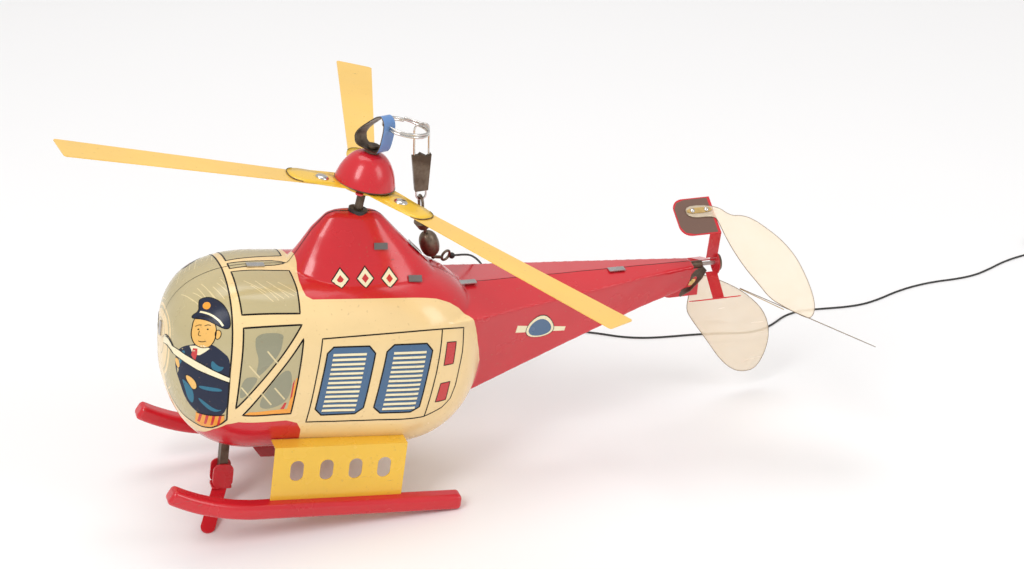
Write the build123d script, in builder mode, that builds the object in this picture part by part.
"""Wind-up tin helicopter toy.

Pressed tin body in two halves, clockwork that drives a celluloid tail propeller through a long
shaft, a freely turning three-bladed rotor, and a hanging chain with a cord.

Everything is drawn level: X runs from the rotor shaft to the tail, the nose points to -X, +Y is
starboard, and Z is measured from the underside of the skis. Each finished piece is then tipped
nose-up onto the nose shoe and the two ski heels, which is how the toy stands.
"""
from build123d import *
import math
import os

os.makedirs("parts", exist_ok=True)

# ---------------------------------------------------------------- driving dimensions (mm, degrees)
TIN = 0.5                     # thickness of the pressed sheet

# stance: nose-up pitch, and the shift that puts the ground under the shoe and heels
PITCH = 8.08
STANCE_X = -71.7
STANCE_Y = -10.77
STANCE_Z = 7.34

# pod
POD_NOSE_X = -91.2
POD_FRONT_X = -45.0           # the pod is full size from here ...
POD_REAR_X = 20.0             # ... to here
POD_END_X = 67.0
POD_TOP_Z = 114.0
POD_BOTTOM_Z = 22.3
POD_HALF_WIDTH = 40.0
POD_NOSE_Z = 79.0             # height of the widest line at the nose
POD_TAIL_Z = 72.0             # and at the rear
POD_ROUND = 2.6               # exponent of the rounded cross-section
POD_NOSE_ROUND = 2.4
POD_REAR_ROUND = 2.2

# tail boom, drawn as four-cornered sections: x, top z, half-width, shoulder drop, bottom z
BOOM_SECTIONS = (
    (40.0, 100.7, 33.0, 4.6, 40.0),
    (58.0, 102.2, 30.0, 4.6, 46.0),
    (110.0, 106.4, 18.8, 2.6, 69.5),
    (150.0, 109.7, 10.2, 1.2, 87.0),
    (176.0, 111.8, 5.5, 0.8, 97.0),
)
BOOM_KEEL = 0.45              # half-width of the boom's underside over that of its shoulder

# pylon, drawn as level rounded sections: z, front x, rear x, half-width
PYLON_SECTIONS = (
    (94.0, -46.0, 56.0, 34.0),
    (103.0, -40.0, 47.7, 27.0),
    (112.0, -34.5, 38.4, 20.0),
    (120.0, -29.5, 30.0, 15.0),
    (131.0, -23.5, 18.4, 10.0),
    (139.0, -17.2, 10.2, 5.8),
    (140.8, -13.5, 7.0, 3.8),
)
PYLON_ROUND = 2.5

# rotor
HUB_Z = 154.3
ROTOR_TILT = 6.87             # the shaft leans aft of the body's upright
ROTOR_RADIUS = 150.5
BLADE_ANGLES = (187.35, 305.85, 77.43)
BLADE_FLAPS = (3.33, -1.59, 3.51)
BLADE_TIP_CHORD = 18.9
BLADE_ROOT_CHORD = 12.5
BLADE_THICK = 0.5
BLADE_ROOT_R = 17.0
ARM_END_R = 37.0
RIVET_R = 22.3
RIVET_HEAD_R = 2.9
SHAFT_R = 2.0
DOME_R = 14.6
DOME_H = 15.2
HANGER_FOOT_Z = 18.2

# tail propeller
TAIL_HUB = (189.56, 0.0, 110.64)
TAIL_TILT = 5.8
TAIL_ARM_ANGLES = (73.7, 193.7, 313.7)
TAIL_SHAFT_R = 1.0
LEAF_THICK = 0.4
LEAF_OFFSET = 18.14           # distance of a paddle's plane from the tail shaft
PADDLE_LEAN = 47.8            # turn of a paddle's face from its arm

# clockwork
GEAR_MODULE = 0.75
PLATE_Y = 12.0
PLATE_THICK = 0.8
ARBOR = (5.0, 70.0)           # x, z of the winding arbor
GREAT_TEETH = 48
PINION_TEETH = 12
CROWN_TEETH = 32
TAIL_PINION_TEETH = 8
FIT = 0.04                    # radial clearance of a running fit

# undercarriage
SKI_Y = 41.3

# cord
CORD_D = 1.1

stance = Location((STANCE_X, STANCE_Y, STANCE_Z), (0, PITCH, 0))


# ---------------------------------------------------------------- helpers
def finish(block, label):
    """Name a piece, tip it into the standing attitude and write it."""
    block.part.label = label
    standing = block.part.moved(stance)
    standing.label = label
    export_step(standing, f"parts/{label}.step")


def standing_point(point):
    """Where a point of the level drawing comes to in the standing attitude."""
    return (stance * Location(point)).position


def across(x):
    """Plane across the body at x: its x is +Y and its y is +Z."""
    return Plane(origin=(x, 0, 0), x_dir=(0, 1, 0), z_dir=(1, 0, 0))


def beside(y):
    """Plane along the body at y, seen from port: its x is +X and its y is +Z."""
    return Plane(origin=(0, y, 0), x_dir=(1, 0, 0), z_dir=(0, -1, 0))


def on_rotor(height=0.0, turn=0.0):
    """Plane square to the rotor shaft, turned about it."""
    tilt = math.radians(ROTOR_TILT)
    axis = Vector(math.sin(tilt), 0, math.cos(tilt))
    fore = Vector(math.cos(tilt), 0, -math.sin(tilt)).rotate(Axis((0, 0, 0), axis), turn)
    return Plane(origin=Vector(0, 0, HUB_Z) + axis * height, x_dir=fore, z_dir=axis)


def tail_axis():
    """Unit direction of the tail shaft, pointing aft."""
    tilt = math.radians(TAIL_TILT)
    return Vector(math.cos(tilt), 0, math.sin(tilt))


def on_tail(distance=0.0):
    """Plane square to the tail shaft: its x is +Y."""
    axis = tail_axis()
    return Plane(origin=Vector(TAIL_HUB) + axis * distance, x_dir=(0, 1, 0), z_dir=axis)


def tail_radial(angle):
    """Unit direction square to the tail shaft at an angle from +Y."""
    plane = on_tail()
    turn = math.radians(angle)
    return plane.x_dir * math.cos(turn) + plane.y_dir * math.sin(turn)


def rounded(exponent, angle):
    """Point of a unit rounded square at an angle from the top, on the port side."""
    turn = math.radians(angle)
    side = abs(math.sin(turn)) ** (2 / exponent)
    up = abs(math.cos(turn)) ** (2 / exponent)
    return side, math.copysign(up, math.cos(turn))


def shrink(share, exponent):
    """Size of a rounded end at a share of its length."""
    return (1 - min(share, 1.0) ** exponent) ** (1 / exponent)


# ---------------------------------------------------------------- body shells
def pod_section(x, inset):
    """Top, bottom, middle height and half-width of the pod at x."""
    front = max(0.0, (x - POD_FRONT_X) / (POD_NOSE_X + inset - POD_FRONT_X))
    rear = max(0.0, (x - POD_REAR_X) / (POD_END_X - inset - POD_REAR_X))
    size = shrink(front, POD_NOSE_ROUND) * shrink(rear, POD_REAR_ROUND)
    blend = (x - POD_FRONT_X) / (POD_REAR_X - POD_FRONT_X)
    middle = POD_NOSE_Z + (POD_TAIL_Z - POD_NOSE_Z) * min(max(blend, 0.0), 1.0)
    top = middle + (POD_TOP_Z - inset - middle) * size
    bottom = middle - (middle - POD_BOTTOM_Z - inset) * size
    return top, bottom, middle, (POD_HALF_WIDTH - inset) * size


def pod_stations(inset):
    """Places of the pod's sections, closer together towards its rounded ends."""
    turns = [math.radians(88.0 - 8.0 * step) for step in range(11)]
    front_length = POD_NOSE_X + inset - POD_FRONT_X
    rear_length = POD_END_X - inset - POD_REAR_X
    front = [POD_FRONT_X + front_length * math.sin(turn) for turn in turns]
    rear = [POD_REAR_X + rear_length * math.sin(turn) for turn in reversed(turns)]
    return front + [POD_FRONT_X, -12.0, POD_REAR_X] + rear


def half_fuselage(inset):
    """Port half of the pod, boom and pylon as one solid, drawn in by inset."""
    with BuildPart() as half:
        for x in pod_stations(inset):
            top, bottom, middle, width = pod_section(x, inset)
            outline = []
            for angle in range(0, 181, 12):
                side, up = rounded(POD_ROUND, angle)
                reach = top - middle if up > 0 else middle - bottom
                outline.append((-width * side, middle + reach * up))
            with BuildSketch(across(x)):
                with BuildLine():
                    Spline(*outline, tangents=[(-1, 0), (1, 0)])
                    Line(outline[-1], outline[0])
                make_face()
        loft(ruled=True)
        for x, top, width, drop, bottom in BOOM_SECTIONS:
            with BuildSketch(across(x)):
                with BuildLine():
                    Polyline(
                        (0, top - inset),
                        (-(width - inset), top - drop - inset),
                        (-(width * BOOM_KEEL - inset), bottom + inset + 1.0),
                        (0, bottom + inset),
                        close=True,
                    )
                make_face()
        loft(ruled=True)
        for z, front, rear, width in PYLON_SECTIONS:
            middle = (front + rear) / 2
            reach = (rear - front) / 2 - inset
            outline = []
            for angle in range(0, 181, 15):
                side, along = rounded(PYLON_ROUND, angle)
                outline.append((middle + reach * along, -(width - inset) * side))
            with BuildSketch(Plane.XY.offset(z - inset)):
                with BuildLine():
                    Spline(*outline, tangents=[(0, -1), (0, 1)])
                    Line(outline[-1], outline[0])
                make_face()
        loft(ruled=True)
    return half.part


outer_half = half_fuselage(0.0)
inner_half = half_fuselage(TIN)

GROMMET_HOLE_R = 3.6
KEY_HOLE_R = 2.6
shaft_foot = on_rotor(-30.0)

with BuildPart() as port_shell:
    add(outer_half)
    add(inner_half, mode=Mode.SUBTRACT)
    with BuildSketch(shaft_foot):
        Circle(GROMMET_HOLE_R)
    extrude(amount=20.0, mode=Mode.SUBTRACT)
finish(port_shell, "port_shell")

with BuildPart() as starboard_shell:
    add(mirror(port_shell.part, about=Plane.XZ, mode=Mode.PRIVATE))
    with BuildSketch(Plane(origin=(ARBOR[0], 30.0, ARBOR[1]), z_dir=(0, 1, 0))):
        Circle(KEY_HOLE_R)
    extrude(amount=14.0, mode=Mode.SUBTRACT)
finish(starboard_shell, "starboard_shell")


# ---------------------------------------------------------------- small pieces on the body
TAB = (8.5, 4.0, TIN)


def tab_place(x, z, slope):
    """Location of a folded tab lying on the seam."""
    return Location((x, -2.2, z + TAB[2] / 2 + 0.1), (0, -slope, 0))


SEAM_TAB_PLACES = ((-49.3, 114.02, 0.0), (28.4, 122.2, -43.5), (57.5, 102.9, 4.4), (135.0, 108.5, 4.7))

with BuildPart() as seam_tabs:
    for x, z, slope in SEAM_TAB_PLACES:
        with Locations(tab_place(x, z, slope)):
            Box(*TAB)
    add(outer_half, mode=Mode.SUBTRACT)
    add(mirror(outer_half, about=Plane.XZ, mode=Mode.PRIVATE), mode=Mode.SUBTRACT)
finish(seam_tabs, "seam_tabs")

GROMMET_TOP = -12.4
with BuildPart() as pylon_grommet:
    with BuildSketch(on_rotor(GROMMET_TOP)):
        Circle(GROMMET_HOLE_R + 1.0)
    extrude(amount=-3.0)
    add(outer_half, mode=Mode.SUBTRACT)
    add(mirror(outer_half, about=Plane.XZ, mode=Mode.PRIVATE), mode=Mode.SUBTRACT)
    with BuildSketch(on_rotor(GROMMET_TOP)):
        Circle(GROMMET_HOLE_R - 0.05)
    extrude(amount=-6.0)
    with BuildSketch(on_rotor(GROMMET_TOP + 1.0)):
        Circle(SHAFT_R + 0.25)
    extrude(amount=-9.0, mode=Mode.SUBTRACT)
finish(pylon_grommet, "pylon_grommet")

BELLY_KEEL_TOP = POD_BOTTOM_Z - 0.02
with BuildPart() as belly_keel:
    with BuildSketch(beside(0)):
        with BuildLine():
            Polyline(
                (-46.0, BELLY_KEEL_TOP),
                (-38.0, 11.8),
                (4.0, 11.8),
                (10.0, BELLY_KEEL_TOP),
                close=True,
            )
        make_face()
    extrude(amount=7.0, both=True)
    fillet(belly_keel.edges().filter_by(Axis.X), 2.0)
finish(belly_keel, "belly_keel")

MOTOR_TAB_PLACES = ((8.0, -11.9, 127.6, -26.6), (25.0, -17.9, 113.3, -38.7))
with BuildPart() as motor_tabs:
    for x, y, z, lean in MOTOR_TAB_PLACES:
        with Locations(Location((x, y, z), (lean, 0, 0))):
            Box(6.6, TIN, 3.2)
finish(motor_tabs, "motor_tabs")


# ---------------------------------------------------------------- undercarriage
BRACKET_FRONT_X = -41.2
BRACKET_REAR_X = 24.0
BRACKET_TOP_Z = 36.5
BRACKET_Y = 40.3
BRACKET_SLOT = (11.0, 6.5)
BRACKET_SLOT_X = (-29.5, -14.9, -0.6, 13.6)
BRACKET_SLOT_Z = 23.6
SKI_SIZE = (9.0, 8.0)
SKI_ROUND = 2.6
SKI_BEND_X = -46.6
SKI_BEND_R = 92.6
SKI_BEND = 28.0
SKI_HEEL_X = 54.1


def bracket_piece():
    """Port skid bracket: a slotted wall on the ski and a top flange that meets the body."""
    with BuildPart() as bracket:
        with BuildSketch(Plane.YZ.offset(BRACKET_FRONT_X)):
            with BuildLine():
                Polyline(
                    (-BRACKET_Y, SKI_SIZE[1]),
                    (-BRACKET_Y, BRACKET_TOP_Z),
                    (-31.9, BRACKET_TOP_Z),
                    (-31.4, BRACKET_TOP_Z - TIN),
                    (-BRACKET_Y + TIN, BRACKET_TOP_Z - TIN),
                    (-BRACKET_Y + TIN, SKI_SIZE[1]),
                    close=True,
                )
            make_face()
        extrude(amount=BRACKET_REAR_X - BRACKET_FRONT_X)
        with BuildSketch(beside(-BRACKET_Y - 1.0)):
            with Locations([(x, BRACKET_SLOT_Z) for x in BRACKET_SLOT_X]):
                SlotOverall(BRACKET_SLOT[0], BRACKET_SLOT[1], rotation=90)
        extrude(amount=-3.0, mode=Mode.SUBTRACT)
        add(inner_half, mode=Mode.SUBTRACT)
        add(outer_half, mode=Mode.SUBTRACT)
    return bracket


def ski_piece():
    """Port ski: a rounded pressed runner with an upturned toe."""
    with BuildPart() as ski:
        middle = SKI_SIZE[1] / 2
        with BuildLine(beside(-SKI_Y)):
            straight = Line((SKI_HEEL_X, middle), (SKI_BEND_X, middle))
            JernArc(start=straight @ 1, tangent=straight % 1, radius=SKI_BEND_R, arc_size=-SKI_BEND)
        with BuildSketch(Plane(origin=(SKI_HEEL_X, -SKI_Y, middle), x_dir=(0, 1, 0), z_dir=(-1, 0, 0))):
            RectangleRounded(SKI_SIZE[0], SKI_SIZE[1], SKI_ROUND)
        sweep()
        ends = ski.faces().sort_by(Axis.X)
        fillet(ends[0].edges() + ends[-1].edges(), 2.0)
    return ski


port_bracket = bracket_piece()
finish(port_bracket, "port_bracket")

port_ski = ski_piece()
finish(port_ski, "port_ski")

with BuildPart() as starboard_bracket:
    add(mirror(port_bracket.part, about=Plane.XZ, mode=Mode.PRIVATE))
finish(starboard_bracket, "starboard_bracket")

with BuildPart() as starboard_ski:
    add(mirror(port_ski.part, about=Plane.XZ, mode=Mode.PRIVATE))
finish(starboard_ski, "starboard_ski")

STRUT_X = -55.5
STRUT_TOP_Z = 23.0
STRUT_FOOT_Z = -5.4
STRUT_WIDE = 5.5
STRUT_DEEP = 4.0
with BuildPart() as nose_strut:
    with BuildSketch(Plane.XY.offset(STRUT_FOOT_Z)):
        with Locations((STRUT_X, 0)):
            Rectangle(STRUT_DEEP, STRUT_WIDE)
        with Locations((STRUT_X + 1.0, 0)):
            Rectangle(STRUT_DEEP, STRUT_WIDE - 2 * 0.7, mode=Mode.SUBTRACT)
    extrude(amount=STRUT_TOP_Z - STRUT_FOOT_Z)
    add(outer_half, mode=Mode.SUBTRACT)
    add(mirror(outer_half, about=Plane.XZ, mode=Mode.PRIVATE), mode=Mode.SUBTRACT)
finish(nose_strut, "nose_strut")

SHOE_FOOT = Vector(STRUT_X, 0, STRUT_FOOT_Z - 0.5)
SHOE_TIP = Vector(-67.3, -26.9, -16.43)
SHOE_TONGUE_WIDE = 7.0
SHOE_THICK = 0.9
EAR_WIDE = 10.0
tongue_way = (SHOE_TIP - SHOE_FOOT).normalized()
tongue_side = tongue_way.cross(Vector(0, 0, 1)).normalized()
tongue_plane = Plane(origin=SHOE_FOOT, x_dir=tongue_way, z_dir=tongue_way.cross(tongue_side))
tongue_length = (SHOE_TIP - SHOE_FOOT).length
with BuildPart() as nose_shoe:
    with BuildSketch(Plane.XY.offset(STRUT_FOOT_Z - SHOE_THICK)):
        with Locations((STRUT_X, 0)):
            RectangleRounded(EAR_WIDE, STRUT_WIDE + 2 * SHOE_THICK, 1.2)
    extrude(amount=SHOE_THICK)
    for side in (-1, 1):
        with BuildSketch(beside(side * (STRUT_WIDE / 2 + SHOE_THICK / 2))):
            with Locations((STRUT_X, STRUT_FOOT_Z + 6.0)):
                RectangleRounded(EAR_WIDE, 13.0, 3.5)
        extrude(amount=SHOE_THICK / 2, both=True)
    with BuildSketch(tongue_plane):
        with Locations((tongue_length / 2 - SHOE_TONGUE_WIDE / 4, 0)):
            Rectangle(tongue_length - SHOE_TONGUE_WIDE / 2, SHOE_TONGUE_WIDE)
        with Locations((tongue_length - SHOE_TONGUE_WIDE / 2, 0)):
            Circle(SHOE_TONGUE_WIDE / 2)
    extrude(amount=SHOE_THICK / 2, both=True)
    with BuildSketch(Plane.XY.offset(STRUT_FOOT_Z)):
        with Locations((STRUT_X, 0)):
            Rectangle(STRUT_DEEP, STRUT_WIDE)
    extrude(amount=12.0, mode=Mode.SUBTRACT)
finish(nose_shoe, "nose_shoe")


# ---------------------------------------------------------------- rotor
SHAFT_FOOT = -30.0
SHAFT_TOP = 19.4
with BuildPart() as rotor_shaft:
    with BuildSketch(on_rotor(SHAFT_FOOT)):
        Circle(SHAFT_R)
    extrude(amount=SHAFT_TOP - SHAFT_FOOT)
    with BuildSketch(on_rotor(-2.6)):
        Circle(4.2)
    extrude(amount=1.6)
    with BuildSketch(on_rotor(SHAFT_TOP)):
        Circle(3.0)
    extrude(amount=0.9)
finish(rotor_shaft, "rotor_shaft")


def flapped(turn, flap, height=0.0):
    """Plane of a blade: its x runs out along the blade and its z is up."""
    flat = on_rotor(height, turn)
    return Plane(
        origin=flat.origin,
        x_dir=flat.x_dir.rotate(Axis((0, 0, 0), flat.y_dir), -flap),
        z_dir=flat.z_dir.rotate(Axis((0, 0, 0), flat.y_dir), -flap),
    )


with BuildPart() as rotor_hub:
    with BuildSketch(on_rotor(-0.9)):
        Circle(DOME_R - 2.5)
    extrude(amount=1.6)
    for turn, flap in zip(BLADE_ANGLES, BLADE_FLAPS):
        with BuildSketch(flapped(turn, flap, 0.1)):
            with BuildLine():
                Polyline((4.0, -9.5), (16.0, -9.0), (28.0, -8.2), (ARM_END_R - 1.5, -6.4))
                Line((ARM_END_R - 1.5, -6.4), (ARM_END_R, 6.0))
                Polyline((ARM_END_R, 6.0), (28.0, 7.6), (16.0, 8.6), (4.0, 9.0))
                Line((4.0, 9.0), (4.0, -9.5))
            make_face()
        extrude(amount=TIN)
    with BuildSketch(on_rotor(-5.0)):
        Circle(SHAFT_R + FIT)
    extrude(amount=12.0, mode=Mode.SUBTRACT)
finish(rotor_hub, "rotor_hub")

BLADE_NAMES = ("left_blade", "front_blade", "back_blade")
for name, turn, flap in zip(BLADE_NAMES, BLADE_ANGLES, BLADE_FLAPS):
    with BuildPart() as blade:
        with BuildSketch(flapped(turn, flap, 0.1)):
            with BuildLine():
                Polyline(
                    (BLADE_ROOT_R, -BLADE_ROOT_CHORD / 2),
                    (ROTOR_RADIUS, -BLADE_TIP_CHORD / 2),
                    (ROTOR_RADIUS, BLADE_TIP_CHORD / 2),
                    (BLADE_ROOT_R, BLADE_ROOT_CHORD / 2),
                    close=True,
                )
            make_face()
            fillet(vertices(), 1.5)
        extrude(amount=-BLADE_THICK)
        with BuildSketch(on_rotor(-2.0)):
            Circle(DOME_R - 2.5)
        extrude(amount=4.0, mode=Mode.SUBTRACT)
    finish(blade, name)

with BuildPart() as rotor_rivets:
    for turn, flap in zip(BLADE_ANGLES, BLADE_FLAPS):
        with BuildSketch(flapped(turn, flap, 0.15 + TIN)):
            with Locations((RIVET_R, 0)):
                Circle(RIVET_HEAD_R)
        extrude(amount=0.9, taper=35)
        with BuildSketch(flapped(turn, flap, 0.1 - BLADE_THICK - 0.01)):
            with Locations((RIVET_R, 0)):
                Circle(RIVET_HEAD_R * 0.7)
        extrude(amount=-0.7)
finish(rotor_rivets, "rotor_rivets")

DOME_WALL = 0.5
DOME_FOOT = 1.4
dome_plane = on_rotor(DOME_FOOT)
dome_side = Plane(origin=dome_plane.origin, x_dir=dome_plane.x_dir, z_dir=-dome_plane.y_dir)


def dome_outline(inset):
    """Half outline of the dome, drawn in by inset."""
    wide = DOME_R - inset
    high = DOME_H - inset
    Spline(
        (wide, 0.0),
        (wide * 0.93, high * 0.36),
        (wide * 0.7, high * 0.74),
        (wide * 0.36, high * 0.96),
        (0.0, high),
        tangents=[(0, 1), (-1, 0)],
    )
    Polyline((0.0, high), (0.0, 0.0), (wide, 0.0))


with BuildPart() as rotor_dome:
    with BuildSketch(dome_side):
        with BuildLine():
            dome_outline(0.0)
        make_face()
    revolve(axis=Axis(dome_plane.origin, dome_plane.z_dir))
    with BuildSketch(dome_side):
        with BuildLine():
            dome_outline(DOME_WALL)
        make_face()
    revolve(axis=Axis(dome_plane.origin, dome_plane.z_dir), mode=Mode.SUBTRACT)
    with BuildSketch(on_rotor(0)):
        Circle(SHAFT_R + 0.05)
    extrude(amount=25.0, mode=Mode.SUBTRACT)
finish(rotor_dome, "rotor_dome")

NUT_FLAT = 6.6
with BuildPart() as dome_nut:
    with BuildSketch(on_rotor(DOME_FOOT + DOME_H + 0.02)):
        RegularPolygon(NUT_FLAT / 2, 6, major_radius=False)
        Circle(SHAFT_R, mode=Mode.SUBTRACT)
    extrude(amount=HANGER_FOOT_Z - DOME_FOOT - DOME_H - 0.12)
finish(dome_nut, "dome_nut")


# ---------------------------------------------------------------- hanging chain
HANGER_TURN = -55.0
HANGER_WIDE = 9.0
HANGER_LEG_X = 6.6
HANGER_THICK = 0.6
RING_R = 10.8
RING_WIRE_R = 0.8
RING_Z = 31.0
RING_HOLE_R = 2.3

hanger_plane = on_rotor(0.0, HANGER_TURN)
hanger_side = Plane(origin=hanger_plane.origin, x_dir=hanger_plane.x_dir, z_dir=-hanger_plane.y_dir)


def hanger_outline(inset):
    """Outline of the bent strap, drawn in by inset."""
    Polyline(
        (-7.6 + inset, HANGER_FOOT_Z + inset),
        (HANGER_LEG_X + 0.3 - inset, HANGER_FOOT_Z + inset),
        (HANGER_LEG_X + 0.3 - inset, 33.2 - inset * 0.5),
        (2.0 - inset * 0.4, 37.2 - inset * 1.2),
        (-9.6 + inset, 24.0 - inset * 0.2),
        close=True,
    )


with BuildPart() as hanger:
    with BuildSketch(hanger_side):
        with BuildLine():
            hanger_outline(0.0)
        make_face()
        fillet(vertices(), 1.8)
        with BuildLine():
            hanger_outline(HANGER_THICK)
        make_face(mode=Mode.SUBTRACT)
    extrude(amount=HANGER_WIDE / 2, both=True)
    with BuildSketch(on_rotor(HANGER_FOOT_Z - 1.0, HANGER_TURN)):
        Circle(SHAFT_R + FIT)
    extrude(amount=2.5, mode=Mode.SUBTRACT)
    leg_middle = hanger_plane.from_local_coords(Vector(HANGER_LEG_X - 1.5, 0, RING_Z))
    with BuildSketch(Plane(origin=leg_middle, z_dir=hanger_plane.x_dir)):
        Circle(RING_HOLE_R)
    extrude(amount=3.0, mode=Mode.SUBTRACT)
finish(hanger, "hanger_stirrup")

RING_TURN = 27.1              # level direction of the ring's far side from its hole
ring_hole = hanger_plane.from_local_coords(Vector(HANGER_LEG_X, 0, RING_Z))
ring_out = on_rotor(0.0, RING_TURN).x_dir
ring_middle = ring_hole + ring_out * RING_R
with BuildPart() as split_ring:
    with BuildSketch(Plane(origin=ring_middle, x_dir=ring_out, z_dir=ring_out.cross(hanger_plane.z_dir))):
        with Locations((RING_R, 0)):
            Circle(RING_WIRE_R)
    revolve(axis=Axis(ring_middle, hanger_plane.z_dir))
finish(split_ring, "split_ring")

# the clip hangs from the ring's far side and leads down to the swivel
CLIP_WIRE_R = 0.5
CLIP_HALF = 3.6
CLIP_FOOT = Vector(31.9, 8.4, 143.0)
ring_far = ring_middle + ring_out * RING_R
clip_top = ring_far - Vector(0, 0, CLIP_HALF - RING_WIRE_R - CLIP_WIRE_R - 0.25)
clip_down = (CLIP_FOOT - clip_top).normalized()
clip_across = clip_down.cross(Vector(0, 1, 0)).normalized() * -1
clip_normal = clip_across.cross(clip_down)
clip_length = (CLIP_FOOT - clip_top).length
clip_plane = Plane(origin=clip_top, x_dir=clip_across, z_dir=clip_normal)
down_sign = 1.0 if clip_plane.y_dir.dot(clip_down) > 0 else -1.0
SHEATH_TOP = 13.5
SHEATH_LONG = 19.5
SHEATH_THICK = 2.4
EYE_LOOP_R = 2.4


def clip_point(across_clip, down_clip):
    """Point of the clip's own plane."""
    return (across_clip, down_sign * down_clip)


with BuildPart() as clip_wire:
    with BuildLine(clip_plane):
        Line(clip_point(-CLIP_HALF, SHEATH_TOP), clip_point(-CLIP_HALF, 0))
        ThreePointArc(clip_point(-CLIP_HALF, 0), clip_point(0, -CLIP_HALF), clip_point(CLIP_HALF, 0))
        Line(clip_point(CLIP_HALF, 0), clip_point(CLIP_HALF, SHEATH_TOP))
    with BuildSketch(Plane(origin=clip_plane.from_local_coords(clip_point(-CLIP_HALF, SHEATH_TOP)),
                           z_dir=-clip_down)):
        Circle(CLIP_WIRE_R)
    sweep()
    with BuildLine(clip_plane):
        Line(
            clip_point(-EYE_LOOP_R, SHEATH_TOP + SHEATH_LONG),
            clip_point(-EYE_LOOP_R, clip_length - EYE_LOOP_R),
        )
        ThreePointArc(
            clip_point(-EYE_LOOP_R, clip_length - EYE_LOOP_R),
            clip_point(0, clip_length),
            clip_point(EYE_LOOP_R, clip_length - EYE_LOOP_R),
        )
        Line(
            clip_point(EYE_LOOP_R, clip_length - EYE_LOOP_R),
            clip_point(EYE_LOOP_R, SHEATH_TOP + SHEATH_LONG),
        )
    with BuildSketch(
        Plane(origin=clip_plane.from_local_coords(clip_point(-EYE_LOOP_R, SHEATH_TOP + SHEATH_LONG)),
              z_dir=clip_down)
    ):
        Circle(CLIP_WIRE_R)
    sweep()
finish(clip_wire, "clip_wire")

with BuildPart() as clip_sheath:
    with BuildSketch(clip_plane):
        with BuildLine():
            Polyline(
                clip_point(-4.7, SHEATH_TOP),
                clip_point(-2.6, SHEATH_TOP + 1.2),
                clip_point(0.6, SHEATH_TOP - 1.0),
                clip_point(1.6, SHEATH_TOP),
                clip_point(4.7, SHEATH_TOP),
                clip_point(3.2, SHEATH_TOP + SHEATH_LONG),
                clip_point(-3.2, SHEATH_TOP + SHEATH_LONG),
                close=True,
            )
        make_face()
    extrude(amount=SHEATH_THICK / 2, both=True)
finish(clip_sheath, "clip_sheath")

# swivel: an upper eye through the clip, a neck, and a barrel that turns and carries the lower eye
EYE_WIRE_R = 0.7
SWIVEL_HALF = 3.2
NECK = Vector(35.6, 9.2, 130.6)
BARREL_TOP = Vector(36.9, 9.6, 124.9)
BARREL_FOOT = Vector(42.9, 12.2, 111.4)
BARREL_R = 4.8
eye_top = CLIP_FOOT - clip_down * (CLIP_WIRE_R + EYE_WIRE_R - SWIVEL_HALF + 0.2)
eye_way = (NECK - eye_top).normalized()
eye_plane = Plane(origin=eye_top, x_dir=eye_way, z_dir=clip_across)
eye_long = (NECK - eye_top).length
barrel_way = (BARREL_FOOT - BARREL_TOP).normalized()
barrel_plane = Plane(origin=BARREL_TOP, z_dir=barrel_way)

with BuildPart() as swivel_eye:
    with BuildLine(eye_plane):
        Line((eye_long, -SWIVEL_HALF), (0, -SWIVEL_HALF))
        ThreePointArc((0, -SWIVEL_HALF), (-SWIVEL_HALF, 0), (0, SWIVEL_HALF))
        Line((0, SWIVEL_HALF), (eye_long, SWIVEL_HALF))
    eye_start = eye_plane.from_local_coords((eye_long, -SWIVEL_HALF))
    with BuildSketch(Plane(origin=eye_start, z_dir=-eye_plane.x_dir)):
        Circle(EYE_WIRE_R)
    sweep()
    with BuildSketch(Plane(origin=barrel_plane.origin - barrel_way * 7.5, z_dir=barrel_way)):
        Circle(4.2)
    extrude(amount=4.0, taper=18)
    with BuildSketch(Plane(origin=barrel_plane.origin - barrel_way * 3.6, z_dir=barrel_way)):
        Circle(0.9)
    extrude(amount=3.6 + 3.0)
finish(swivel_eye, "swivel_eye")

barrel_long = (BARREL_FOOT - BARREL_TOP).length
barrel_side = Plane(origin=BARREL_TOP, x_dir=barrel_plane.x_dir, z_dir=-barrel_plane.y_dir)
barrel_sign = 1.0 if barrel_side.y_dir.dot(barrel_way) > 0 else -1.0
with BuildPart() as swivel_barrel:
    with BuildSketch(barrel_side):
        with BuildLine():
            Spline(
                (0.94, 0.0),
                (BARREL_R * 0.8, barrel_sign * barrel_long * 0.17),
                (BARREL_R, barrel_sign * barrel_long * 0.5),
                (BARREL_R * 0.75, barrel_sign * barrel_long * 0.86),
                (1.2, barrel_sign * barrel_long),
            )
            Polyline(
                (1.2, barrel_sign * barrel_long),
                (0, barrel_sign * barrel_long),
                (0, barrel_sign * 3.2),
                (0.94, barrel_sign * 3.2),
                (0.94, 0.0),
            )
        make_face()
    revolve(axis=Axis(BARREL_TOP, barrel_way))
finish(swivel_barrel, "swivel_barrel")

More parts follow.
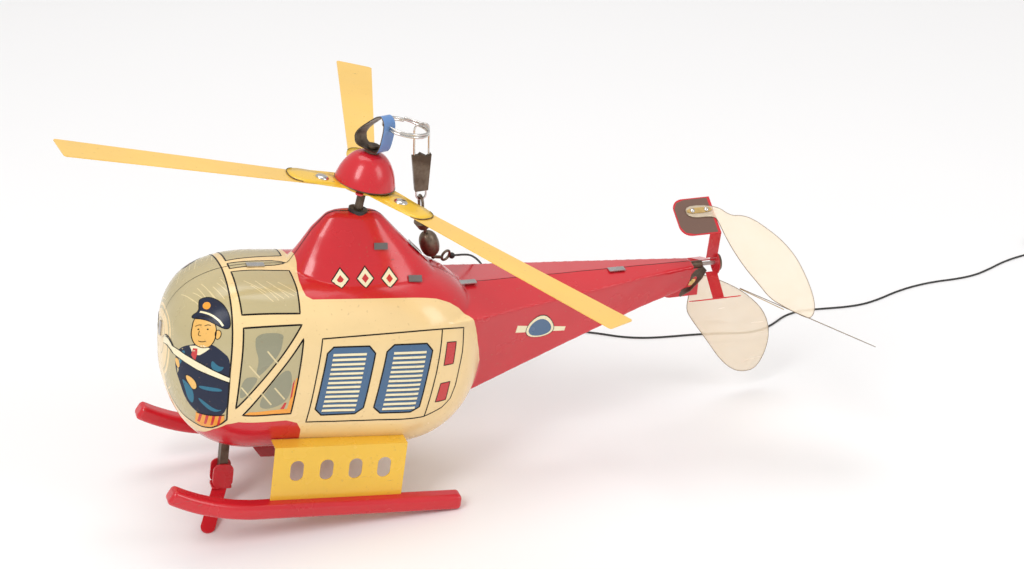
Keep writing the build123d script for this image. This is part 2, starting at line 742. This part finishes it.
LOWER_EYE = Vector(51.6, 17.6, 108.4)
LOWER_EYE_R = 2.6
lower_way = (LOWER_EYE - BARREL_FOOT).normalized()
EYE_PIN_GAP = 0.3
EYE_PIN_R = 1.1
eye_foot = BARREL_FOOT + barrel_way * (EYE_PIN_GAP + EYE_PIN_R)
with BuildPart() as lower_eye:
    with Locations(eye_foot):
        Sphere(EYE_PIN_R)
    with BuildSketch(Plane(origin=eye_foot, z_dir=lower_way)):
        Circle(0.8)
    extrude(amount=(LOWER_EYE - eye_foot).length - LOWER_EYE_R)
    with BuildSketch(Plane(origin=LOWER_EYE, x_dir=lower_way, z_dir=lower_way.cross(Vector(0, 1, 0)))):
        with Locations((LOWER_EYE_R, 0)):
            Circle(0.65)
    revolve(axis=Axis(LOWER_EYE, lower_way.cross(Vector(0, 1, 0)).cross(lower_way)))
finish(lower_eye, "lower_eye")


# ---------------------------------------------------------------- tail propeller
def leaf_face_plane(angle, offset):
    """Plane of a paddle: its x runs aft along the tail shaft, its z away from the shaft."""
    outward = tail_radial(angle + PADDLE_LEAN)
    return Plane(origin=Vector(TAIL_HUB) + outward * offset, x_dir=tail_axis(), z_dir=outward)


PADDLE_LONG = 21.0
PADDLE_FROM = 6.0
PADDLE_TO = 28.0
ROOT_LONG = 6.0
with BuildPart() as tail_spider:
    with BuildSketch(on_tail(-TIN / 2)):
        Circle(6.0)
    extrude(amount=TIN)
    for angle in TAIL_ARM_ANGLES:
        face = leaf_face_plane(angle, LEAF_OFFSET)
        along = face.y_dir.dot(tail_radial(angle + PADDLE_LEAN - 90))
        facing = 1.0 if along > 0 else -1.0
        with BuildSketch(face):
            with Locations((-PADDLE_LONG / 2, facing * (PADDLE_FROM + PADDLE_TO) / 2)):
                Rectangle(PADDLE_LONG, PADDLE_TO - PADDLE_FROM)
            fillet(vertices().group_by(Axis(face.origin, face.x_dir))[0], 6.0)
        extrude(amount=TIN / 2, both=True)
        lip = tail_radial(angle + PADDLE_LEAN) * LEAF_OFFSET
        way = tail_radial(angle + PADDLE_LEAN - 90)
        elbow = lip + way * (PADDLE_FROM + 0.2)
        hub_edge = tail_radial(angle + 40) * 4.5
        root_way = (elbow - hub_edge).normalized()
        root_plane = Plane(
            origin=Vector(TAIL_HUB) + hub_edge,
            x_dir=root_way,
            z_dir=root_way.cross(tail_axis()),
        )
        with BuildSketch(root_plane):
            root_reach = (elbow - hub_edge).length / 2
            root_shift = root_plane.y_dir.dot(tail_axis()) * -ROOT_LONG / 2
            with Locations((root_reach, root_shift)):
                Rectangle((elbow - hub_edge).length, ROOT_LONG)
        extrude(amount=TIN / 2, both=True)
    with BuildSketch(on_tail(-1.0)):
        Circle(TAIL_SHAFT_R)
    extrude(amount=2.0, mode=Mode.SUBTRACT)
finish(tail_spider, "tail_spider")

LEAF_GAP = 0.05
LEAF_LIFT = LEAF_OFFSET + TIN / 2 + LEAF_GAP
PORT_LEAF = (
    (-15.0, 24.0), (2.0, 22.0), (7.6, 15.0), (13.5, 14.6), (18.7, 11.9), (24.7, 5.0),
    (30.3, -3.0), (34.2, -12.8),
    (35.8, -24.1), (35.9, -36.6), (34.1, -44.6), (30.5, -49.4), (27.4, -48.2), (19.5, -41.6), (13.0, -35.4),
    (9.6, -26.1), (5.5, -16.0), (1.9, -2.0), (0.3, 12.0), (-0.5, 16.0), (-15.0, 16.0),
)
LOWER_LEAF = (
    (-15.0, 16.0), (-15.0, 24.0), (-3.8, 24.5), (-5.3, 35.9), (-2.2, 41.9), (7.8, 55.8),
    (17.7, 70.2), (25.6, 77.1),
    (31.8, 78.8), (38.1, 77.8), (42.5, 69.9), (44.6, 57.0), (40.0, 43.0), (27.0, 30.0),
    (12.0, 21.0), (0.5, 16.0),
)
LEAVES = (("port_leaf", TAIL_ARM_ANGLES[0], PORT_LEAF), ("lower_leaf", TAIL_ARM_ANGLES[2], LOWER_LEAF))
for name, angle, outline in LEAVES:
    face = leaf_face_plane(angle, LEAF_LIFT)
    facing = 1.0 if face.y_dir.dot(tail_radial(angle + PADDLE_LEAN - 90)) > 0 else -1.0
    with BuildPart() as leaf:
        with BuildSketch(face):
            with BuildLine():
                Polyline(*[(along, facing * up) for along, up in outline], close=True)
            make_face()
        extrude(amount=LEAF_THICK)
    finish(leaf, name)

# the third leaf is warped out of its paddle's plane
AFT = tail_axis()
OUT = Vector(0, 1, 0)
RISE = on_tail().y_dir
LONG_LEAF_ROOT = Vector(TAIL_HUB) + AFT * 0.2 - OUT * 25.2 - RISE * 0.8
long_way = (AFT * 0.827 - OUT * 0.462 - RISE * 0.320).normalized()
long_normal = (AFT * -0.489 - OUT * 0.226 - RISE * 0.842).normalized()
LONG_LEAF = (
    (3.0, -7.0), (12.0, -12.0), (26.0, -17.5), (42.0, -19.5), (56.0, -17.0), (68.0, -11.0), (75.5, -3.0),
    (76.4, 3.0), (70.0, 11.5), (58.0, 17.5), (42.0, 19.5), (26.0, 16.5), (12.0, 11.0), (3.0, 6.5),
)
with BuildPart() as long_leaf:
    with BuildSketch(Plane(origin=LONG_LEAF_ROOT, x_dir=long_way, z_dir=long_normal)):
        with BuildLine():
            Polyline(*LONG_LEAF, close=True)
        make_face()
    extrude(amount=LEAF_THICK)
finish(long_leaf, "long_leaf")

with BuildPart() as tail_straps:
    for angle in (TAIL_ARM_ANGLES[0], TAIL_ARM_ANGLES[2]):
        face = leaf_face_plane(angle, LEAF_OFFSET - TIN / 2)
        facing = 1.0 if face.y_dir.dot(tail_radial(angle + PADDLE_LEAN - 90)) > 0 else -1.0
        with BuildSketch(face):
            with Locations((-8.5, facing * 20.0)):
                Rectangle(13.0, 3.4)
        extrude(amount=-0.4)
        with BuildSketch(face.offset(-0.4)):
            with Locations((-12.5, facing * 20.0), (-4.5, facing * 20.0)):
                Circle(1.3)
        extrude(amount=-0.6, taper=30)
    with BuildSketch(Plane(origin=LONG_LEAF_ROOT, x_dir=long_way, z_dir=long_normal).offset(LEAF_THICK)):
        with Locations((15.0, 0)):
            Rectangle(24.0, 3.4)
    extrude(amount=0.4)
finish(tail_straps, "tail_straps")

TAIL_PINION_R = GEAR_MODULE * TAIL_PINION_TEETH / 2
CROWN_R = GEAR_MODULE * CROWN_TEETH / 2


def crown_arbor():
    """Place of the second arbor: on the tail shaft's line, one gear distance from the winding arbor."""
    axis = tail_axis()
    gap = Vector(TAIL_HUB) - Vector(ARBOR[0], 0, ARBOR[1])
    distance = GEAR_MODULE * (GREAT_TEETH + PINION_TEETH) / 2
    half = gap.dot(axis)
    step = -half + math.sqrt(half**2 - gap.dot(gap) + distance**2)
    return Vector(TAIL_HUB) + axis * step, step


second_arbor, second_step = crown_arbor()
pinion_step = second_step + CROWN_R

with BuildPart() as tail_shaft:
    with BuildSketch(on_tail(pinion_step - 1.2)):
        Circle(TAIL_SHAFT_R)
    extrude(amount=2.6 - pinion_step + 1.2)
finish(tail_shaft, "tail_shaft")

with BuildPart() as tail_cap:
    with BuildSketch(on_tail(TIN / 2)):
        Circle(5.2)
        Circle(TAIL_SHAFT_R, mode=Mode.SUBTRACT)
    extrude(amount=1.8, taper=30)
finish(tail_cap, "tail_cap")


# ---------------------------------------------------------------- clockwork
def spur_outline(teeth, phase, bore):
    """Flat gear outline with straight-sided teeth, drawn in the sketch in hand."""
    pitch_r = GEAR_MODULE * teeth / 2
    root_r = pitch_r - 1.15 * GEAR_MODULE
    tip_r = pitch_r + 0.8 * GEAR_MODULE
    Circle(root_r)
    with PolarLocations(0, teeth, start_angle=phase):
        Polygon((root_r - 0.3, -0.62), (tip_r, -0.26), (tip_r, 0.26), (root_r - 0.3, 0.62), align=None)
    Circle(bore, mode=Mode.SUBTRACT)


ARBOR_R = 1.6
SECOND_R = 1.0
GREAT_Y = -9.0
GREAT_THICK = 1.6
mesh_angle = math.degrees(math.atan2(second_arbor.Z - ARBOR[1], second_arbor.X - ARBOR[0]))
PLATE_FRONT_X = -18.0
PLATE_REAR_X = 36.0
PLATE_FOOT_Z = 48.0
PLATE_TOP_Z = 108.0
PILLARS = ((-14.0, 54.0), (32.0, 54.0), (-14.0, 102.0), (32.0, 102.0))


def frame_plate(inner_y):
    """One plate of the clockwork frame, from inner_y outwards."""
    outward = math.copysign(1.0, inner_y)
    with BuildPart() as plate:
        with BuildSketch(beside(inner_y)):
            with Locations(((PLATE_FRONT_X + PLATE_REAR_X) / 2, (PLATE_FOOT_Z + PLATE_TOP_Z) / 2)):
                RectangleRounded(PLATE_REAR_X - PLATE_FRONT_X, PLATE_TOP_Z - PLATE_FOOT_Z, 5.0)
            with Locations(ARBOR):
                Circle(ARBOR_R + FIT, mode=Mode.SUBTRACT)
            with Locations((second_arbor.X, second_arbor.Z)):
                Circle(SECOND_R + FIT, mode=Mode.SUBTRACT)
            with Locations(*PILLARS):
                Circle(1.1, mode=Mode.SUBTRACT)
        extrude(amount=-PLATE_THICK * outward)
    return plate


for name, inner_y in (("port_plate", -PLATE_Y), ("starboard_plate", PLATE_Y)):
    plate = frame_plate(inner_y)
    finish(plate, name)

with BuildPart() as frame_pillars:
    with BuildSketch(beside(0)):
        with Locations(*PILLARS):
            Circle(1.8)
    extrude(amount=PLATE_Y, both=True)
    with BuildSketch(beside(0)):
        with Locations(*PILLARS):
            Circle(1.1)
    extrude(amount=PLATE_Y + PLATE_THICK + 0.4, both=True)
finish(frame_pillars, "frame_pillars")

BAR_X = 30.0
bar_step = (BAR_X - TAIL_HUB[0]) / tail_axis().X
with BuildPart() as bearing_bar:
    with BuildSketch(on_tail(bar_step)):
        Rectangle(2 * PLATE_Y, 6.0)
        Circle(TAIL_SHAFT_R + FIT, mode=Mode.SUBTRACT)
    extrude(amount=1.0)
finish(bearing_bar, "bearing_bar")

with BuildPart() as winding_arbor:
    with BuildSketch(beside(-PLATE_Y - 1.4)):
        with Locations(ARBOR):
            Circle(ARBOR_R)
    extrude(amount=-(PLATE_Y + 1.4 + 32.0))
finish(winding_arbor, "winding_arbor")

with BuildPart() as great_wheel:
    with BuildSketch(Plane(origin=(ARBOR[0], GREAT_Y, ARBOR[1]), x_dir=(1, 0, 0), z_dir=(0, -1, 0))):
        spur_outline(GREAT_TEETH, mesh_angle, ARBOR_R)
    extrude(amount=-GREAT_THICK)
finish(great_wheel, "great_wheel")

SPRING_TURNS = 7
SPRING_R = 2.4
SPRING_PITCH = 1.55
SPRING_THICK = 0.32
SPRING_Y = -6.4
SPRING_WIDE = 6.0


def spiral_edge(lift):
    """Points of one edge of the mainspring's spiral."""
    points = []
    for step in range(0, SPRING_TURNS * 12 + 1):
        turn = 2 * math.pi * step / 12
        radius = SPRING_R + SPRING_PITCH * step / 12 + lift
        points.append((ARBOR[0] + radius * math.cos(turn), ARBOR[1] + radius * math.sin(turn)))
    return points


with BuildPart() as mainspring:
    inside = spiral_edge(0.0)
    outside = spiral_edge(SPRING_THICK)
    with BuildSketch(beside(SPRING_Y)):
        with BuildLine():
            Spline(*inside)
            Line(inside[-1], outside[-1])
            Spline(*outside)
            Line(outside[0], inside[0])
        make_face()
    extrude(amount=-SPRING_WIDE)
    with BuildSketch(beside(SPRING_Y)):
        with Locations(ARBOR):
            Circle(SPRING_R + SPRING_THICK)
            Circle(ARBOR_R, mode=Mode.SUBTRACT)
    extrude(amount=-SPRING_WIDE)
finish(mainspring, "mainspring")

KEY_Y = 32.0
KEY_SHANK_R = 2.2
with BuildPart() as winding_key:
    with BuildSketch(beside(KEY_Y)):
        with Locations(ARBOR):
            Circle(KEY_SHANK_R)
    extrude(amount=-16.0)
    with BuildSketch(Plane(origin=(ARBOR[0], KEY_Y + 14.0, ARBOR[1]), x_dir=(1, 0, 0), z_dir=(0, 0, 1))):
        with Locations((-6.2, 7.5), (6.2, 7.5)):
            Circle(7.0)
            Circle(3.2, mode=Mode.SUBTRACT)
        Rectangle(5.0, 6.0, align=(Align.CENTER, Align.MIN))
    extrude(amount=0.6, both=True)
finish(winding_key, "winding_key")

PINION_WIDE = 3.0
with BuildPart() as pinion_arbor:
    with BuildSketch(beside(-PLATE_Y - 1.2)):
        with Locations((second_arbor.X, second_arbor.Z)):
            Circle(SECOND_R)
    extrude(amount=-2 * (PLATE_Y + 1.2))
finish(pinion_arbor, "pinion_arbor")

with BuildPart() as pinion:
    with BuildSketch(
        Plane(origin=(second_arbor.X, GREAT_Y - 0.7, second_arbor.Z), x_dir=(1, 0, 0), z_dir=(0, -1, 0))
    ):
        spur_outline(PINION_TEETH, mesh_angle + 180.0 + 180.0 / PINION_TEETH, SECOND_R)
    extrude(amount=-PINION_WIDE)
finish(pinion, "pinion")

CROWN_Y = 4.0
CROWN_THICK = 1.0
CROWN_TOOTH = 1.3
CROWN_RIM = 1.5
with BuildPart() as crown_wheel:
    crown_face = Plane(origin=(second_arbor.X, CROWN_Y, second_arbor.Z), x_dir=(1, 0, 0), z_dir=(0, -1, 0))
    with BuildSketch(crown_face):
        Circle(CROWN_R + CROWN_RIM)
        Circle(SECOND_R, mode=Mode.SUBTRACT)
    extrude(amount=-CROWN_THICK)
    for tooth in range(CROWN_TEETH):
        radial = math.radians(TAIL_TILT + tooth * 360.0 / CROWN_TEETH)
        way = Vector(math.cos(radial), 0, math.sin(radial))
        tooth_plane = Plane(
            origin=crown_face.origin + way * (CROWN_R - CROWN_RIM),
            x_dir=way.cross(Vector(0, 1, 0)),
            z_dir=way,
        )
        up = math.copysign(1.0, tooth_plane.y_dir.Y)
        with BuildSketch(tooth_plane):
            Polygon(
                (-0.55, up * 0.2), (0.55, up * 0.2), (0.22, -up * CROWN_TOOTH), (-0.22, -up * CROWN_TOOTH),
                align=None,
            )
        extrude(amount=2 * CROWN_RIM)
finish(crown_wheel, "crown_wheel")

with BuildPart() as tail_pinion:
    with BuildSketch(on_tail(pinion_step - 0.9)):
        spur_outline(TAIL_PINION_TEETH, 180.0 / TAIL_PINION_TEETH, TAIL_SHAFT_R)
    extrude(amount=1.8)
finish(tail_pinion, "tail_pinion")

# rear bearing: a plug in the end of the boom, and a tube on it that carries the shaft
with BuildPart() as boom_bush:
    with BuildSketch(on_tail(-16.6)):
        Circle(2.0)
    extrude(amount=9.0)
    with BuildSketch(on_tail(-15.6)):
        with Locations((0, -0.6)):
            Rectangle(8.4, 2.6)
    extrude(amount=1.0)
    with BuildSketch(on_tail(-17.0)):
        Circle(TAIL_SHAFT_R + FIT)
    extrude(amount=12.0, mode=Mode.SUBTRACT)
finish(boom_bush, "boom_bush")

LEG_TOP = Vector(183.2, 0, 106.5)
LEG_FOOT = Vector(173.0, 0, 92.0)
leg_way = (LEG_FOOT - LEG_TOP).normalized()
leg_length = (LEG_FOOT - LEG_TOP).length
with BuildPart() as tail_bracket:
    with BuildSketch(Plane(origin=LEG_TOP, x_dir=leg_way, z_dir=leg_way.cross(Vector(0, 1, 0)))):
        with BuildLine():
            Polyline((-1.5, -2.6), (3.0, -4.4), (leg_length - 6.0, -4.0), (leg_length, -0.6), (leg_length, 0.6),
                     (leg_length - 6.0, 4.0), (3.0, 4.4), (-1.5, 2.6), close=True)
        make_face()
        with Locations((8.0, 0)):
            SlotOverall(7.0, 3.6, mode=Mode.SUBTRACT)
    extrude(amount=0.5)
    add(boom_bush.part, mode=Mode.SUBTRACT)
finish(tail_bracket, "tail_bracket")


# ---------------------------------------------- cord, drawn as it lies when the toy stands
CORD_R = CORD_D / 2
KNOT_R = 1.6
KNOT_CLEAR = 1.0              # the knot swings with the eye, so the still cord starts clear of it
KNOT_GAP = 0.25
COIL_TURNS_OUT = 4
COIL_TURNS_UP = 3
COIL_MIDDLE = (400.5, 112.2)
COIL_R = 6.0
coil_half = COIL_TURNS_OUT * CORD_R
knot_place = standing_point(LOWER_EYE + lower_way * (LOWER_EYE_R + 0.65 + KNOT_R + KNOT_GAP))
CORD_ROUTE = (
    (5.5, 14.3, 102.6), (12.5, 21.0, 98.0), (20.0, 29.5, 88.5), (27.0, 40.0, 74.5), (35.5, 53.0, 56.5),
    (45.5, 66.0, 37.5), (57.5, 78.5, 19.5), (70.5, 89.0, 6.8), (84.0, 96.5, 1.1), (97.0, 98.0, CORD_R),
    (108.0, 91.5, CORD_R), (118.5, 83.5, CORD_R), (130.5, 78.2, CORD_R), (143.5, 75.6, CORD_R),
    (157.5, 73.6, CORD_R), (171.5, 70.6, CORD_R), (184.0, 66.6, CORD_R), (195.5, 66.2, CORD_R),
    (205.5, 71.2, CORD_R), (214.5, 77.8, CORD_R), (225.0, 80.8, CORD_R), (238.0, 79.3, CORD_R),
    (251.0, 76.9, CORD_R), (263.5, 76.5, CORD_R), (275.5, 79.6, CORD_R), (287.0, 84.2, CORD_R),
    (300.0, 87.7, CORD_R), (315.0, 89.2, CORD_R), (329.5, 88.2, CORD_R), (342.5, 89.3, CORD_R),
    (354.5, 93.9, CORD_R), (366.0, 99.3, CORD_R), (378.5, 102.8, CORD_R), (390.0, 104.4, CORD_R),
    (400.5, 104.55, CORD_R),
)

with BuildPart() as cord_coil:
    with BuildSketch():
        with Locations(COIL_MIDDLE):
            Circle(COIL_R + coil_half)
            Circle(COIL_R - coil_half, mode=Mode.SUBTRACT)
    extrude(amount=COIL_TURNS_UP * CORD_D)
cord_coil.part.label = "cord_coil"
export_step(cord_coil.part, "parts/cord_coil.step")

with BuildPart() as cord_knot:
    with Locations(knot_place):
        Sphere(KNOT_R)
cord_knot.part.label = "cord_knot"
export_step(cord_knot.part, "parts/cord_knot.step")

route = [knot_place] + [Vector(point) for point in CORD_ROUTE]
cord_radii = []
for before, corner, after in zip(route, route[1:], route[2:]):
    turn = math.radians((corner - before).get_angle(after - corner))
    shorter = min((corner - before).length, (after - corner).length)
    cord_radii.append(0.45 * shorter / math.tan(turn / 2))
print("cord radii", [round(radius, 1) for radius in cord_radii])
with BuildPart() as cord_tube:
    with BuildLine() as cord_path:
        FilletPolyline(*route, radius=cord_radii)
    with BuildSketch(Plane(origin=route[0], z_dir=route[1] - route[0])):
        Circle(CORD_R)
    sweep()
    cord_length = sum(edge.length for edge in cord_path.edges())
    section_volume = math.pi * CORD_R**2 * cord_length
    print("cord volume over section times length", round(cord_tube.part.volume / section_volume, 4))
    print("cord length", round(cord_length, 1))
    with Locations(knot_place):
        Sphere(KNOT_R + KNOT_CLEAR, mode=Mode.SUBTRACT)
    add(cord_coil.part, mode=Mode.SUBTRACT)
cord_tube.part.label = "cord_tube"
export_step(cord_tube.part, "parts/cord_tube.step")
